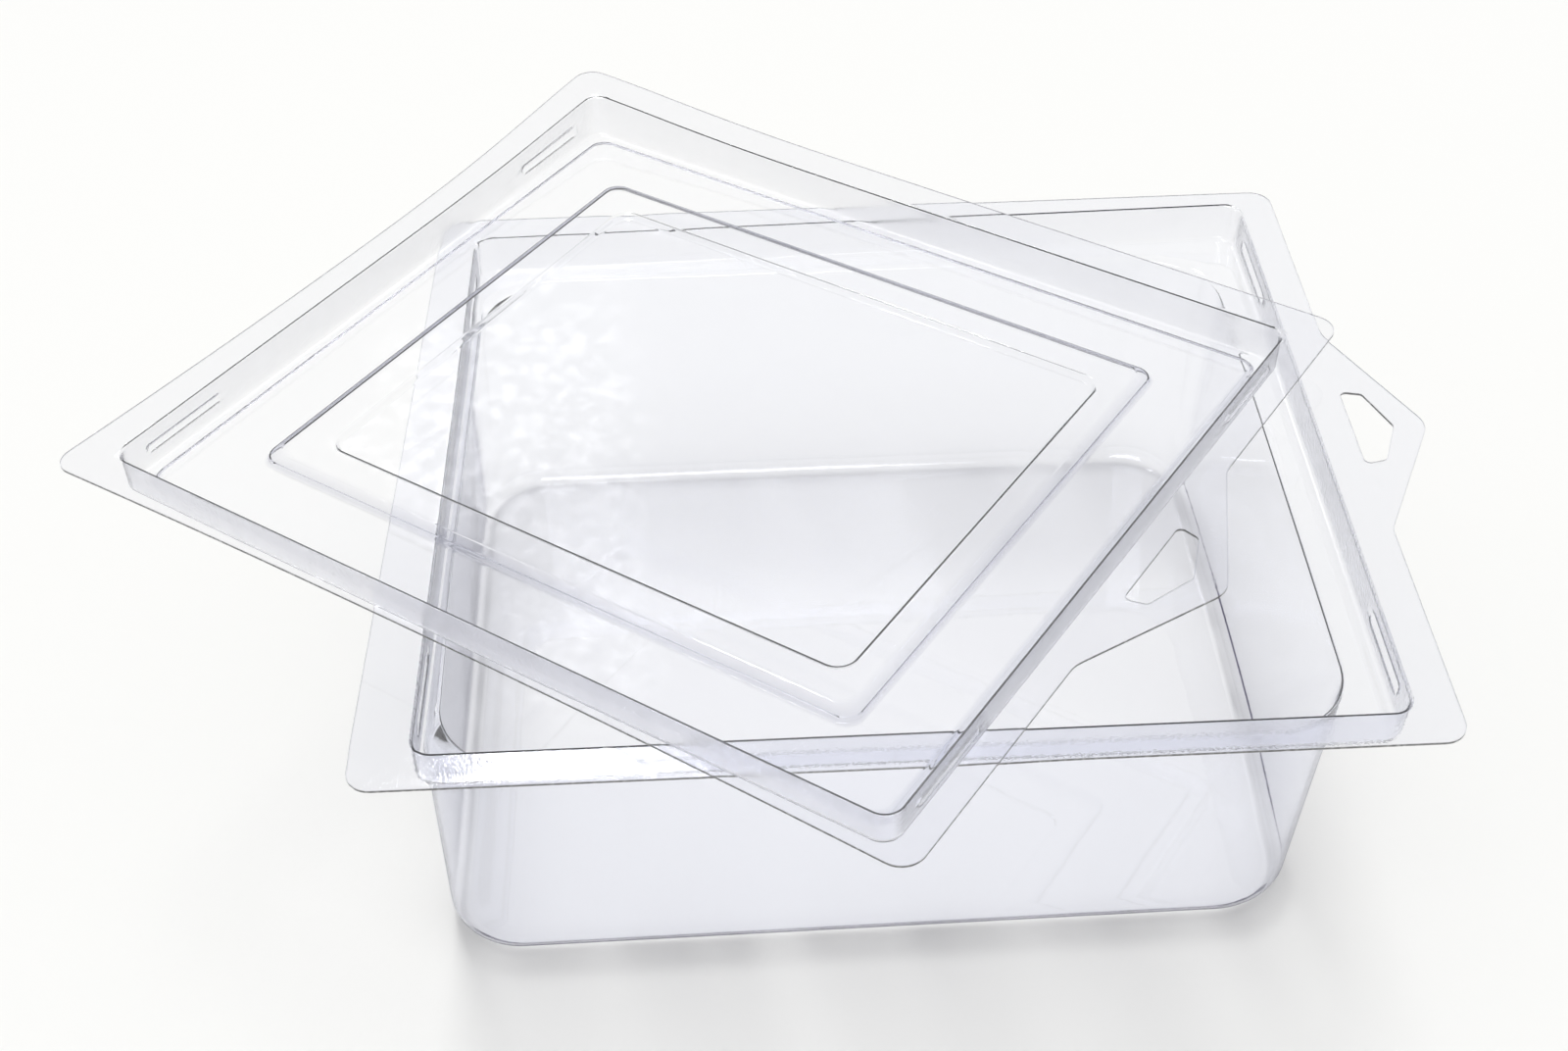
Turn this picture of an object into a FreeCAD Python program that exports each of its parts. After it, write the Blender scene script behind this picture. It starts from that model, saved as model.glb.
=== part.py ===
import FreeCAD, Part
import math
import os

import Sketcher

# A clear hang-sell box formed from two plastic sheets: a deep tray and a plug lid.
# The origin is the centre of the tray's underside, +Z is up and +X points to the hang tab.

SIZES = (
    # alias, millimetres (degrees where it says so), what it is
    ("sheet", 0.6, "thickness of the formed sheet"),
    ("tray_height", 80.0, "underside to the top of the tray's flange"),
    ("flange_length", 245.0, "flange along X, without the tab"),
    ("flange_width", 220.0, "flange along Y"),
    ("flange_corner", 6.0, "radius of the flange's corners"),
    ("flange_rim", 10.0, "flange edge to the recess wall"),
    ("tab_half_base", 39.5, "half the tab's length along the flange edge"),
    ("tab_reach", 18.5, "flange edge to the tab's unrounded point"),
    ("tab_point_radius", 8.0, "rounding of the tab's point"),
    ("tab_root_radius", 9.0, "rounding where the tab leaves the flange"),
    ("hole_setback", 0.8, "flange edge back to the hole's flat side"),
    ("hole_half_base", 14.7, "half the hole's flat side, unrounded"),
    ("hole_half_shoulder", 13.4, "half the hole's width at its shoulders"),
    ("hole_shoulder", 4.8, "flange edge out to the hole's shoulders"),
    ("hole_point", 9.8, "flange edge out to the hole's unrounded point"),
    ("hole_radius", 1.6, "rounding of the hole's corners"),
    ("recess_depth", 10.5, "flange top down to the ledge"),
    ("recess_corner", 5.0, "radius of the recess corners"),
    ("ledge", 6.0, "ledge width on three sides"),
    ("ledge_tab_side", 8.5, "ledge width on the tab side"),
    ("cavity_corner", 20.0, "radius of the cavity's upright corners"),
    ("cavity_foot_radius", 6.0, "outside rounding round the tray's base"),
    ("wall_draft", 2.0, "slope of the cavity walls, degrees"),
    ("step_draft", 2.0, "slope of the recess and plug walls, degrees"),
    ("plug_gap", 0.4, "air between the seated plug and the recess wall"),
    ("plug_depth", 10.5, "lid flange top down to the plug's foot"),
    ("pan_inset", 11.9, "flange edge to the edge of the lid's floor"),
    ("channel_inset", 15.5, "flange edge to the first raised panel"),
    ("panel_inset", 35.5, "flange edge to the second raised panel"),
    ("window_inset", 47.5, "flange edge to the sunk centre panel"),
    ("channel_rise", 1.3, "plug foot up to the first raised panel"),
    ("panel_rise", 3.9, "plug foot up to the second raised panel"),
    ("window_rise", 2.4, "plug foot up to the centre panel"),
    ("panel_corner", 5.0, "radius of the panels' corners"),
    ("rib_length", 26.0, "snap rib from end to end"),
    ("rib_centre", 76.0, "snap rib's middle from the long axis"),
    ("rib_drop", 5.5, "flange top down to a snap rib's axis"),
    ("groove_radius", 1.8, "inside radius of the tray's snap groove"),
    ("groove_depth", 1.0, "how far the groove is pressed into the wall"),
    ("rib_radius", 1.6, "outside radius of the lid's snap rib"),
    ("rib_height", 0.8, "how far the rib stands out of the plug wall"),
    ("lid_x", -39.4, "middle of the resting lid along X"),
    ("lid_y", 11.0, "middle of the resting lid along Y"),
    ("lid_turn", -35.5, "turn of the resting lid about Z, degrees"),
    ("rest_gap", 0.3, "air left under the resting lid"),
)


def make_sheet(document):
    """Fill the spreadsheet with the driving dimensions, one alias a row."""
    sheet = document.addObject("Spreadsheet::Sheet", "Sizes")
    for row, (alias, value, meaning) in enumerate(SIZES, start=1):
        sheet.set("A%d" % row, alias)
        sheet.set("B%d" % row, str(value))
        sheet.set("C%d" % row, meaning)
        sheet.setAlias("B%d" % row, alias)
    document.recompute()
    return sheet


def make_body(document, label):
    body = document.addObject("PartDesign::Body", label)
    body.Label = label
    return body


def origin_feature(body, role):
    return [item for item in body.Origin.OriginFeatures if item.Role == role][0]


def make_sketch(body, name, height="0", x="0", y="0"):
    """A sketch parallel to the body's XY plane, shifted by three expressions."""
    sketch = body.newObject("Sketcher::SketchObject", name)
    sketch.AttachmentSupport = [(origin_feature(body, "XY_Plane"), "")]
    sketch.MapMode = "FlatFace"
    sketch.setExpression(".AttachmentOffset.Base.x", x)
    sketch.setExpression(".AttachmentOffset.Base.y", y)
    sketch.setExpression(".AttachmentOffset.Base.z", height)
    return sketch


def value_of(sketch, expression):
    value = sketch.evalExpression(expression)
    return float(getattr(value, "Value", value))


def dimension(sketch, kind, points, name, expression):
    """Add a named dimension whose value follows an expression."""
    index = sketch.addConstraint(Sketcher.Constraint(kind, *points, value_of(sketch, expression)))
    sketch.renameConstraint(index, name)
    sketch.setExpression("Constraints." + name, expression)


def point(x, y):
    return FreeCAD.Vector(x, y, 0)


def corner_arc(x, y, radius, quarter):
    """A quarter circle about x, y that starts at quarter * 90 degrees."""
    circle = Part.Circle(point(x, y), FreeCAD.Vector(0, 0, 1), radius)
    start = quarter * math.pi / 2
    return Part.ArcOfCircle(circle, start, start + math.pi / 2)


def draw_rounded_rectangle(sketch, name, right, half_width, radius, left=None):
    """A rounded rectangle from -left to right and from -half_width to half_width."""
    left = left or right
    x0, x1 = -value_of(sketch, left), value_of(sketch, right)
    w, r = value_of(sketch, half_width), value_of(sketch, radius)
    first = sketch.GeometryCount
    lines = (
        (point(x0 + r, -w), point(x1 - r, -w)),
        (point(x1, -w + r), point(x1, w - r)),
        (point(x1 - r, w), point(x0 + r, w)),
        (point(x0, w - r), point(x0, -w + r)),
    )
    arcs = ((x1 - r, -w + r, -1), (x1 - r, w - r, 0), (x0 + r, w - r, 1), (x0 + r, -w + r, 2))
    for (start, end), (cx, cy, quarter) in zip(lines, arcs):
        sketch.addGeometry(Part.LineSegment(start, end), False)
        sketch.addGeometry(corner_arc(cx, cy, r, quarter), False)
    for side in range(4):
        line = first + 2 * side
        arc = line + 1
        next_line = first + 2 * ((side + 1) % 4)
        sketch.addConstraint(Sketcher.Constraint("Tangent", line, 2, arc, 1))
        sketch.addConstraint(Sketcher.Constraint("Tangent", arc, 2, next_line, 1))
        sketch.addConstraint(Sketcher.Constraint(("Horizontal", "Vertical")[side % 2], line))
        if side:
            sketch.addConstraint(Sketcher.Constraint("Equal", first + 1, arc))
    dimension(sketch, "Radius", (first + 1,), name + "_radius", radius)
    dimension(sketch, "DistanceX", (-1, 1, first + 2, 1), name + "_right", right)
    dimension(sketch, "DistanceX", (first + 6, 1, -1, 1), name + "_left", left)
    dimension(sketch, "DistanceY", (first, 1, -1, 1), name + "_front", half_width)
    dimension(sketch, "DistanceY", (-1, 1, first + 4, 1), name + "_back", half_width)


def draw_polygon(sketch, corners):
    """A closed polygon, each corner given as a name and two signed expressions."""
    places = [point(value_of(sketch, x), value_of(sketch, y)) for _name, x, y in corners]
    count = len(places)
    for index in range(count):
        sketch.addGeometry(Part.LineSegment(places[index], places[(index + 1) % count]), False)
    for index in range(count):
        sketch.addConstraint(Sketcher.Constraint("Coincident", index, 2, (index + 1) % count, 1))
    for index, (name, x, y) in enumerate(corners):
        for kind, axis_name, expression in (("DistanceX", "_x", x), ("DistanceY", "_y", y)):
            place = value_of(sketch, expression)
            if place > 0:
                dimension(sketch, kind, (-1, 1, index, 1), name + axis_name, expression)
            elif place < 0:
                dimension(sketch, kind, (index, 1, -1, 1), name + axis_name, "-(%s)" % expression)
            else:
                line = {"DistanceX": -2, "DistanceY": -1}[kind]
                sketch.addConstraint(Sketcher.Constraint("PointOnObject", index, 1, line))


def add_pad(body, sketch, name, length, draft=None):
    """Grow downward from the sketch, narrowing by the draft."""
    pad = body.newObject("PartDesign::Pad", name)
    pad.Profile = sketch
    pad.Reversed = True
    pad.setExpression("Length", length)
    if draft:
        pad.setExpression("TaperAngle", "-" + draft)
    return pad


def add_pocket(body, sketch, name, length, draft=None, upward=False):
    """Cut downward from the sketch, or upward, narrowing by the draft."""
    pocket = body.newObject("PartDesign::Pocket", name)
    pocket.Profile = sketch
    pocket.Reversed = upward
    pocket.setExpression("Length", length)
    if draft:
        pocket.setExpression("TaperAngle", "-" + draft)
    return pocket


def add_fillet(body, base, name, edges, radius):
    fillet = body.newObject("PartDesign::Fillet", name)
    fillet.Base = (base, edges)
    fillet.setExpression("Radius", radius)
    return fillet


def edges_where(feature, wanted):
    """Names of a feature's edges whose box passes the test."""
    return [
        "Edge%d" % number
        for number, edge in enumerate(feature.Shape.Edges, start=1)
        if wanted(edge.BoundBox)
    ]


def upright_at(x, y):
    """A test for an upright edge near x, y, on either side of the XZ plane."""
    def test(box):
        upright = box.XLength < 0.01 and box.YLength < 0.01
        near = abs(box.XMin - x) < 0.01 and abs(abs(box.YMin) - y) < 0.01
        return upright and near
    return test


def level_at(z, reach):
    """A test for a level edge at height z that stays within reach of the Z axis."""
    def test(box):
        farthest = max(abs(box.XMin), abs(box.XMax), abs(box.YMin), abs(box.YMax))
        return abs(box.ZMin - z) < 0.01 and abs(box.ZMax - z) < 0.01 and farthest < reach
    return test


def add_flange(body, sheet, top):
    """The flat flange with its hang tab and the tab's hole, top face at the height given."""
    document = body.Document
    outline = make_sketch(body, "flange_outline", top)
    draw_rounded_rectangle(
        outline, "flange", "Sizes.flange_length / 2", "Sizes.flange_width / 2",
        "Sizes.flange_corner")
    add_pad(body, outline, "flange_plate", "Sizes.sheet")

    edge = "Sizes.flange_length / 2"
    tab = make_sketch(body, "tab_outline", top)
    draw_polygon(tab, (
        ("inner_front", edge + " - Sizes.flange_rim / 2", "-Sizes.tab_half_base"),
        ("root_front", edge, "-Sizes.tab_half_base"),
        ("tip", edge + " + Sizes.tab_reach", "0"),
        ("root_back", edge, "Sizes.tab_half_base"),
        ("inner_back", edge + " - Sizes.flange_rim / 2", "Sizes.tab_half_base"),
    ))
    add_pad(body, tab, "tab_plate", "Sizes.sheet")

    hole = make_sketch(body, "hole_outline", top)
    draw_polygon(hole, (
        ("base_front", edge + " - Sizes.hole_setback", "-Sizes.hole_half_base"),
        ("shoulder_front", edge + " + Sizes.hole_shoulder", "-Sizes.hole_half_shoulder"),
        ("hole_tip", edge + " + Sizes.hole_point", "0"),
        ("shoulder_back", edge + " + Sizes.hole_shoulder", "Sizes.hole_half_shoulder"),
        ("base_back", edge + " - Sizes.hole_setback", "Sizes.hole_half_base"),
    ))
    hang_hole = add_pocket(body, hole, "hang_hole", "2 * Sizes.sheet")
    document.recompute()

    edge_x = sheet.flange_length / 2
    tip = edges_where(hang_hole, upright_at(edge_x + sheet.tab_reach, 0))
    tab_tip = add_fillet(body, hang_hole, "tab_tip", tip, "Sizes.tab_point_radius")
    document.recompute()
    roots = edges_where(tab_tip, upright_at(edge_x, sheet.tab_half_base))
    tab_roots = add_fillet(body, tab_tip, "tab_roots", roots, "Sizes.tab_root_radius")
    document.recompute()
    corners = []
    for x, y in (
            (edge_x - sheet.hole_setback, sheet.hole_half_base),
            (edge_x + sheet.hole_shoulder, sheet.hole_half_shoulder),
            (edge_x + sheet.hole_point, 0)):
        corners += edges_where(tab_roots, upright_at(x, y))
    return add_fillet(body, tab_roots, "hole_corners", corners, "Sizes.hole_radius")


def add_capsules(body, kind, name, radius, wall, top):
    """Four round-ended bars along Y, one at each end of both short walls."""
    half = "(Sizes.rib_length / 2)"
    for side, x_sign in (("tab", ""), ("far", "-")):
        for end, y_sign in (("back", ""), ("front", "-")):
            label = "_".join((name, side, end))
            sketch = make_sketch(
                body, label + "_outline", "%s - Sizes.rib_drop" % top,
                "%s(%s)" % (x_sign, wall), "%sSizes.rib_centre" % y_sign)
            draw_half_capsule(sketch, half, radius)
            bar = body.newObject("PartDesign::" + kind, label)
            bar.Profile = sketch
            bar.ReferenceAxis = (sketch, ["V_Axis"])
            bar.Angle = 360.0


def draw_half_capsule(sketch, half_length, radius):
    """Half of a round-ended bar, to be turned about the sketch's upright axis."""
    straight = "%s - %s" % (half_length, radius)
    r, s = value_of(sketch, radius), value_of(sketch, straight)
    sketch.addGeometry(Part.LineSegment(point(0, s + r), point(0, -s - r)), False)
    sketch.addGeometry(corner_arc(0, -s, r, -1), False)
    sketch.addGeometry(Part.LineSegment(point(r, -s), point(r, s)), False)
    sketch.addGeometry(corner_arc(0, s, r, 0), False)
    for first, second in ((0, 1), (3, 0)):
        sketch.addConstraint(Sketcher.Constraint("Coincident", first, 2, second, 1))
    for first, second in ((1, 2), (2, 3)):
        sketch.addConstraint(Sketcher.Constraint("Tangent", first, 2, second, 1))
    sketch.addConstraint(Sketcher.Constraint("PointOnObject", 0, 1, -2))
    sketch.addConstraint(Sketcher.Constraint("PointOnObject", 0, 2, -2))
    sketch.addConstraint(Sketcher.Constraint("PointOnObject", 1, 3, -2))
    sketch.addConstraint(Sketcher.Constraint("PointOnObject", 3, 3, -2))
    dimension(sketch, "Radius", (1,), "radius", radius)
    dimension(sketch, "DistanceY", (-1, 1, 2, 2), "upper", straight)
    dimension(sketch, "DistanceY", (2, 1, -1, 1), "lower", straight)


def make_tray(document, sheet):
    """The deep tray: flange, recess for the plug, ledge and cavity."""
    body = make_body(document, "tray")
    top = "Sizes.tray_height"
    ledge_top = "(Sizes.tray_height - Sizes.recess_depth)"
    recess_right = "Sizes.flange_length / 2 - Sizes.flange_rim"
    recess_half = "Sizes.flange_width / 2 - Sizes.flange_rim"
    cavity_right = recess_right + " - Sizes.ledge_tab_side"
    cavity_left = recess_right + " - Sizes.ledge"
    cavity_half = recess_half + " - Sizes.ledge"
    add_flange(body, sheet, top)

    recess_outside = make_sketch(body, "recess_outside", top)
    draw_rounded_rectangle(
        recess_outside, "recess", recess_right + " + Sizes.sheet",
        recess_half + " + Sizes.sheet", "Sizes.recess_corner + Sizes.sheet")
    add_pad(body, recess_outside, "recess_block", "Sizes.recess_depth + Sizes.sheet",
            "Sizes.step_draft")

    cavity_outside = make_sketch(body, "cavity_outside", ledge_top)
    draw_rounded_rectangle(
        cavity_outside, "cavity", cavity_right + " + Sizes.sheet",
        cavity_half + " + Sizes.sheet", "Sizes.cavity_corner + Sizes.sheet",
        cavity_left + " + Sizes.sheet")
    add_pad(body, cavity_outside, "cavity_block", ledge_top, "Sizes.wall_draft")

    groove_wall = recess_right + " - Sizes.groove_radius + Sizes.groove_depth"
    add_capsules(body, "Revolution", "groove_back", "(Sizes.groove_radius + Sizes.sheet)",
                 groove_wall, top)

    recess_inside = make_sketch(body, "recess_inside", top)
    draw_rounded_rectangle(
        recess_inside, "recess", recess_right, recess_half, "Sizes.recess_corner")
    add_pocket(body, recess_inside, "recess", "Sizes.recess_depth", "Sizes.step_draft")

    cavity_inside = make_sketch(body, "cavity_inside", ledge_top)
    draw_rounded_rectangle(
        cavity_inside, "cavity", cavity_right, cavity_half, "Sizes.cavity_corner",
        cavity_left)
    cavity = add_pocket(body, cavity_inside, "cavity", ledge_top + " - Sizes.sheet",
                        "Sizes.wall_draft")
    document.recompute()
    floor = add_fillet(
        body, cavity, "cavity_floor",
        edges_where(cavity, level_at(sheet.sheet, sheet.flange_length)),
        "Sizes.cavity_foot_radius - Sizes.sheet")
    document.recompute()
    add_fillet(
        body, floor, "cavity_foot", edges_where(floor, level_at(0, sheet.flange_length)),
        "Sizes.cavity_foot_radius")
    add_capsules(body, "Groove", "groove", "Sizes.groove_radius", groove_wall, top)
    return body


def draw_inset(sketch, name, inset, radius):
    """A rounded rectangle that stays one distance inside the flange's edge."""
    draw_rounded_rectangle(
        sketch, name, "Sizes.flange_length / 2 - (%s)" % inset,
        "Sizes.flange_width / 2 - (%s)" % inset, radius)


def cut_panel(body, name, height, depth, outer, inner=None, upward=False):
    """Cut a panel, or a ring where an inner outline is given, between insets."""
    sketch = make_sketch(body, name + "_outline", height)
    draw_inset(sketch, "outer", *outer)
    if inner:
        draw_inset(sketch, "inner", *inner)
    return add_pocket(body, sketch, name, depth, upward=upward)


def make_lid(document, sheet):
    """The plug lid: flange, plug wall and a floor stepped into framed panels."""
    body = make_body(document, "lid")
    top = "0"
    foot = "-Sizes.plug_depth"
    plug_inset = "Sizes.flange_rim + Sizes.plug_gap"
    plug_corner = "Sizes.recess_corner - Sizes.plug_gap"
    add_flange(body, sheet, top)

    plug_outside = make_sketch(body, "plug_outside", top)
    draw_inset(plug_outside, "plug", plug_inset, plug_corner)
    add_pad(body, plug_outside, "plug_block", "Sizes.plug_depth", "Sizes.step_draft")
    document.recompute()
    rib_wall = "Sizes.flange_length / 2 - (%s) - Sizes.rib_radius + Sizes.rib_height" % plug_inset
    add_capsules(body, "Revolution", "rib", "Sizes.rib_radius", rib_wall, top)

    plug_inside = make_sketch(body, "plug_inside", top)
    draw_inset(plug_inside, "plug", plug_inset + " + Sizes.sheet", plug_corner + " - Sizes.sheet")
    add_pocket(body, plug_inside, "pan", "Sizes.plug_depth - Sizes.sheet - Sizes.panel_rise",
               "Sizes.step_draft")

    pan = ("Sizes.pan_inset", plug_corner + " - Sizes.sheet")
    channel = ("Sizes.channel_inset", "Sizes.panel_corner")
    panel = ("Sizes.panel_inset", "Sizes.panel_corner")
    window = ("Sizes.window_inset", "Sizes.panel_corner")
    floor = "Sizes.plug_depth - Sizes.sheet"
    cut_panel(body, "border", top, floor + " - Sizes.channel_rise", pan, panel)
    cut_panel(body, "channel", top, floor, pan, channel)
    cut_panel(body, "window", top, floor + " - Sizes.window_rise", window)

    under_channel = ("Sizes.channel_inset + Sizes.sheet", "Sizes.panel_corner - Sizes.sheet")
    under_panel = ("Sizes.panel_inset + Sizes.sheet", "Sizes.panel_corner - Sizes.sheet")
    under_window = ("Sizes.window_inset - Sizes.sheet", "Sizes.panel_corner + Sizes.sheet")
    cut_panel(body, "border_back", foot, "Sizes.channel_rise", under_channel, upward=True)
    cut_panel(body, "window_back", foot, "Sizes.window_rise", under_panel, upward=True)
    cut_panel(body, "panel_back", foot, "Sizes.panel_rise", under_panel, under_window,
              upward=True)
    add_capsules(body, "Groove", "rib_hollow", "(Sizes.rib_radius - Sizes.sheet)", rib_wall, top)

    body.setExpression(".Placement.Base.x", "Sizes.lid_x")
    body.setExpression(".Placement.Base.y", "Sizes.lid_y")
    body.setExpression(
        ".Placement.Base.z", "Sizes.tray_height + Sizes.plug_depth + Sizes.rest_gap")
    body.setExpression(".Placement.Rotation.Angle", "Sizes.lid_turn")
    return body


def check_document(document):
    for item in document.Objects:
        if "Invalid" in item.State or "Error" in item.State:
            raise RuntimeError("%s failed: %s" % (item.Name, item.State))


def write_part(body):
    shape = body.Shape
    if shape.isNull() or not shape.isValid() or len(shape.Solids) != 1:
        raise RuntimeError("%s is not one valid solid" % body.Label)
    shape.exportStep("parts/%s.step" % body.Label)
    box = shape.BoundBox
    print(body.Label, "volume %.0f mm3" % shape.Volume, box)


def main():
    os.makedirs("parts", exist_ok=True)
    document = FreeCAD.newDocument("hang_box")
    sheet = make_sheet(document)
    bodies = [make_tray(document, sheet), make_lid(document, sheet)]
    document.recompute()
    check_document(document)
    for body in bodies:
        write_part(body)


main()
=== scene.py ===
import math
from collections import namedtuple

import bmesh
import bpy
from mathutils import Matrix, Vector
from mathutils.geometry import delaunay_2d_cdt


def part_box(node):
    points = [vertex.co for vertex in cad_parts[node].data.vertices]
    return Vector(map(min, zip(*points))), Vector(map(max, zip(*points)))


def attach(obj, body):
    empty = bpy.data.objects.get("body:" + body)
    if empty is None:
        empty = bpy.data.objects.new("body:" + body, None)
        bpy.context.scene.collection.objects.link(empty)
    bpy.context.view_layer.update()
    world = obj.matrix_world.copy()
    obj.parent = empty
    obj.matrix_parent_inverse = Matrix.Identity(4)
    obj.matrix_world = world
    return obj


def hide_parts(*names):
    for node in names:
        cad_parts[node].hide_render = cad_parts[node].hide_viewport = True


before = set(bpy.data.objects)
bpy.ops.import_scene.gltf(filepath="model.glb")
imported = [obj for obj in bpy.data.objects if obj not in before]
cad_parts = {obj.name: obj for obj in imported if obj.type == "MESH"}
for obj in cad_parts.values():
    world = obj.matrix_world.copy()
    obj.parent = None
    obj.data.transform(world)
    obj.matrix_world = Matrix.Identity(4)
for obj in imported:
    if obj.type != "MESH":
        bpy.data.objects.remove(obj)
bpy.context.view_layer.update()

bl_info = {
    "name": "Clear Hang Box",
    "version": (1, 0, 0),
    "blender": (4, 5, 0),
    "location": "3D View > Sidebar > Hang Box",
    "description": "A clear formed tray and its loose plug lid, on their packed frame",
    "category": "Object",
}

TRAY_LOW, TRAY_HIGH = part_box("tray")
LID_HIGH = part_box("lid")[1]
MM = 0.001

# Measures that both sheets share, in millimetres.
HALF_LENGTH = 122.5  # the flange from its middle to its short sides
HALF_WIDTH = 110.0  # and to its long sides
FLANGE_CORNER = 6  # radius of the flange's corners
EDGE_BAND = 1.6  # from the flange's edge to the first whole loop of the sheet
HEM = 0.3  # from a sheared edge to the ring of points beside it
RIB_CENTRE = 76  # from the middle of a short side to the middle of a snap rib
RIB_HALF_LENGTH = 13
TRAY_HEIGHT = 80.0
TRAY_RECESS = 10.5  # from the tray's flange down to its ledge
LID_PLUG = 9.9  # from the lid's flange down to its channel
DRAFT = math.tan(math.radians(2))  # how far a formed wall leans in per millimetre of height

CORNER_STEPS = 14  # points round each corner of a loop
EDGE_BODY = 4.0  # how thick and grey the sheet is at its sheared edge
FLANGE_BODY = 0.2  # and elsewhere in its flange

# One level of a formed sheet: how far it lies inside the flange's edge, its height, the radius of
# the loop's corners, how much further in it lies on the tab side, the radius of the bend there,
# the longest stretch of sheet between it and the next level, the share of its full size that the
# loop is drawn in to, and how thick and grey the sheet is. Millimetres, except the last two.
Level = namedtuple("Level", "inset height corner tab_side bend stretch draw body")


def level(inset, height, corner, bend=0.0, stretch=6.0, tab_side=0.0, draw=1.0, body=0.0):
    """A level of the sheet with its usual values filled in."""
    return Level(inset, height, corner, tab_side, bend, stretch, draw, body)


# ---------------------------------------------------------------- settings


class SheetSettings(bpy.types.PropertyGroup):
    thickness: bpy.props.FloatProperty(
        name="Sheet Thickness", description="Thickness of the formed plastic sheet",
        default=0.6 * MM, min=0.2 * MM, max=2 * MM, precision=5, unit="LENGTH")
    flange_length: bpy.props.FloatProperty(
        name="Flange Length", description="Flange from end to end, without the hang tab",
        default=-2 * TRAY_LOW.x, precision=4, unit="LENGTH")
    flange_width: bpy.props.FloatProperty(
        name="Flange Width", description="Flange from front to back",
        default=TRAY_HIGH.y - TRAY_LOW.y, precision=4, unit="LENGTH")
    tray_height: bpy.props.FloatProperty(
        name="Tray Height", description="Underside of the tray to the top of its flange",
        default=TRAY_HIGH.z, precision=4, unit="LENGTH")
    lid_top: bpy.props.FloatProperty(
        name="Lid Height", description="Height of the resting lid's flange",
        default=LID_HIGH.z, precision=4, unit="LENGTH")
    lid_middle: bpy.props.FloatVectorProperty(
        name="Lid Middle", description="Where the middle of the resting lid is",
        size=2, default=(-0.0394, 0.011), precision=4, subtype="TRANSLATION")
    lid_turn: bpy.props.FloatProperty(
        name="Lid Turn", description="How far the resting lid is turned on the tray",
        default=math.radians(-35.5), subtype="ANGLE")


class PlasticSettings(bpy.types.PropertyGroup):
    tray_tint: bpy.props.FloatVectorProperty(
        name="Tray Tint", description="Colour that one face of the tray gives to what is behind it",
        size=3, default=(0.982, 0.985, 1.0), min=0, max=1, subtype="COLOR")
    lid_tint: bpy.props.FloatVectorProperty(
        name="Lid Tint", description="Colour that one face of the lid gives to what is behind it",
        size=3, default=(0.992, 0.993, 1.0), min=0, max=1, subtype="COLOR")
    # Painted shade: this colour darkens the sheet where it is seen nearly edge on, standing in for
    # the darker room that it reflects there.
    grazing_shade_tint: bpy.props.FloatVectorProperty(
        name="Grazing Tint", description="Colour of the sheet where it is seen nearly edge on",
        size=3, default=(0.5, 0.5, 0.56), min=0, max=1, subtype="COLOR")
    wall_tint: bpy.props.FloatVectorProperty(
        name="Rim Wall Tint", description="Colour of the sheet in its flanges, walls and steps",
        size=3, default=(0.915, 0.917, 0.94), min=0, max=1, subtype="COLOR")
    # Partly wear and partly painted shade: the dark lines at the tray's foot also stand for the
    # dark refraction along its bends.
    scuff_and_shade_tint: bpy.props.FloatVectorProperty(
        name="Scuff Tint", description="Colour of the scuffed lines at the tray's foot",
        size=3, default=(0.3, 0.28, 0.38), min=0, max=1, subtype="COLOR")
    shade: bpy.props.FloatVectorProperty(
        name="Floor Shade", description="Colour of the lamplight that one face lets through",
        size=3, default=(0.997, 0.997, 1.0), min=0, max=1, subtype="COLOR")
    edge_shade: bpy.props.FloatVectorProperty(
        name="Edge Shade", description="Colour of the lamplight where the sheet is met edge on",
        size=3, default=(0.6, 0.6, 0.62), min=0, max=1, subtype="COLOR")
    ripple: bpy.props.FloatProperty(
        name="Ripple", description="Height of the slow waves in the sheet",
        default=0.1 * MM, precision=5, unit="LENGTH")
    frost: bpy.props.FloatProperty(
        name="Frost", description="Height of the fine grain where the sheet was drawn",
        default=0.03 * MM, precision=5, unit="LENGTH")
    bend_index: bpy.props.FloatProperty(
        name="Refractive Index", description="How strongly the plastic bends light",
        default=1.54, min=1.0, max=2.0)


class StudioSettings(bpy.types.PropertyGroup):
    floor_colour: bpy.props.FloatVectorProperty(
        name="Floor Colour", description="Colour of the plain studio floor",
        size=3, default=(0.86, 0.86, 0.845), min=0, max=1, subtype="COLOR")
    backdrop: bpy.props.FloatVectorProperty(
        name="Backdrop", description="Colour of the plain backdrop beyond the floor",
        size=3, default=(1.0, 1.0, 0.985), min=0, max=1, subtype="COLOR")
    sky_strength: bpy.props.FloatProperty(
        name="Room Light", description="Brightness of the light from all round",
        default=0.95, min=0)
    key_strength: bpy.props.FloatProperty(
        name="Key Light", description="Brightness of the broad soft light high at the back",
        default=1.82, min=0)
    camera_place: bpy.props.FloatVectorProperty(
        name="Camera Place", description="Where the camera stands",
        size=3, default=(-0.0357, -0.4446, 0.4396), precision=4, subtype="TRANSLATION")
    camera_aim: bpy.props.FloatVectorProperty(
        name="Camera Aim", description="Point that the camera looks at",
        size=3, default=(-0.0227, 0.0112, 0.045), precision=4, subtype="TRANSLATION")
    camera_roll: bpy.props.FloatProperty(
        name="Camera Roll", description="Turn of the camera about its line of sight",
        default=math.radians(-1.26), subtype="ANGLE")
    lens: bpy.props.FloatProperty(
        name="Lens", description="Focal length of the lens in millimetres",
        default=52.0, min=10, subtype="NONE")


class HangBoxSettings(bpy.types.PropertyGroup):
    sheet: bpy.props.PointerProperty(
        type=SheetSettings, name="Sheet", description="Sizes of the two formed sheets")
    plastic: bpy.props.PointerProperty(
        type=PlasticSettings, name="Plastic", description="Look of the clear plastic")
    studio: bpy.props.PointerProperty(
        type=StudioSettings, name="Studio", description="Floor, lights and camera")


# ---------------------------------------------------------------- profile of a formed sheet


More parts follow.
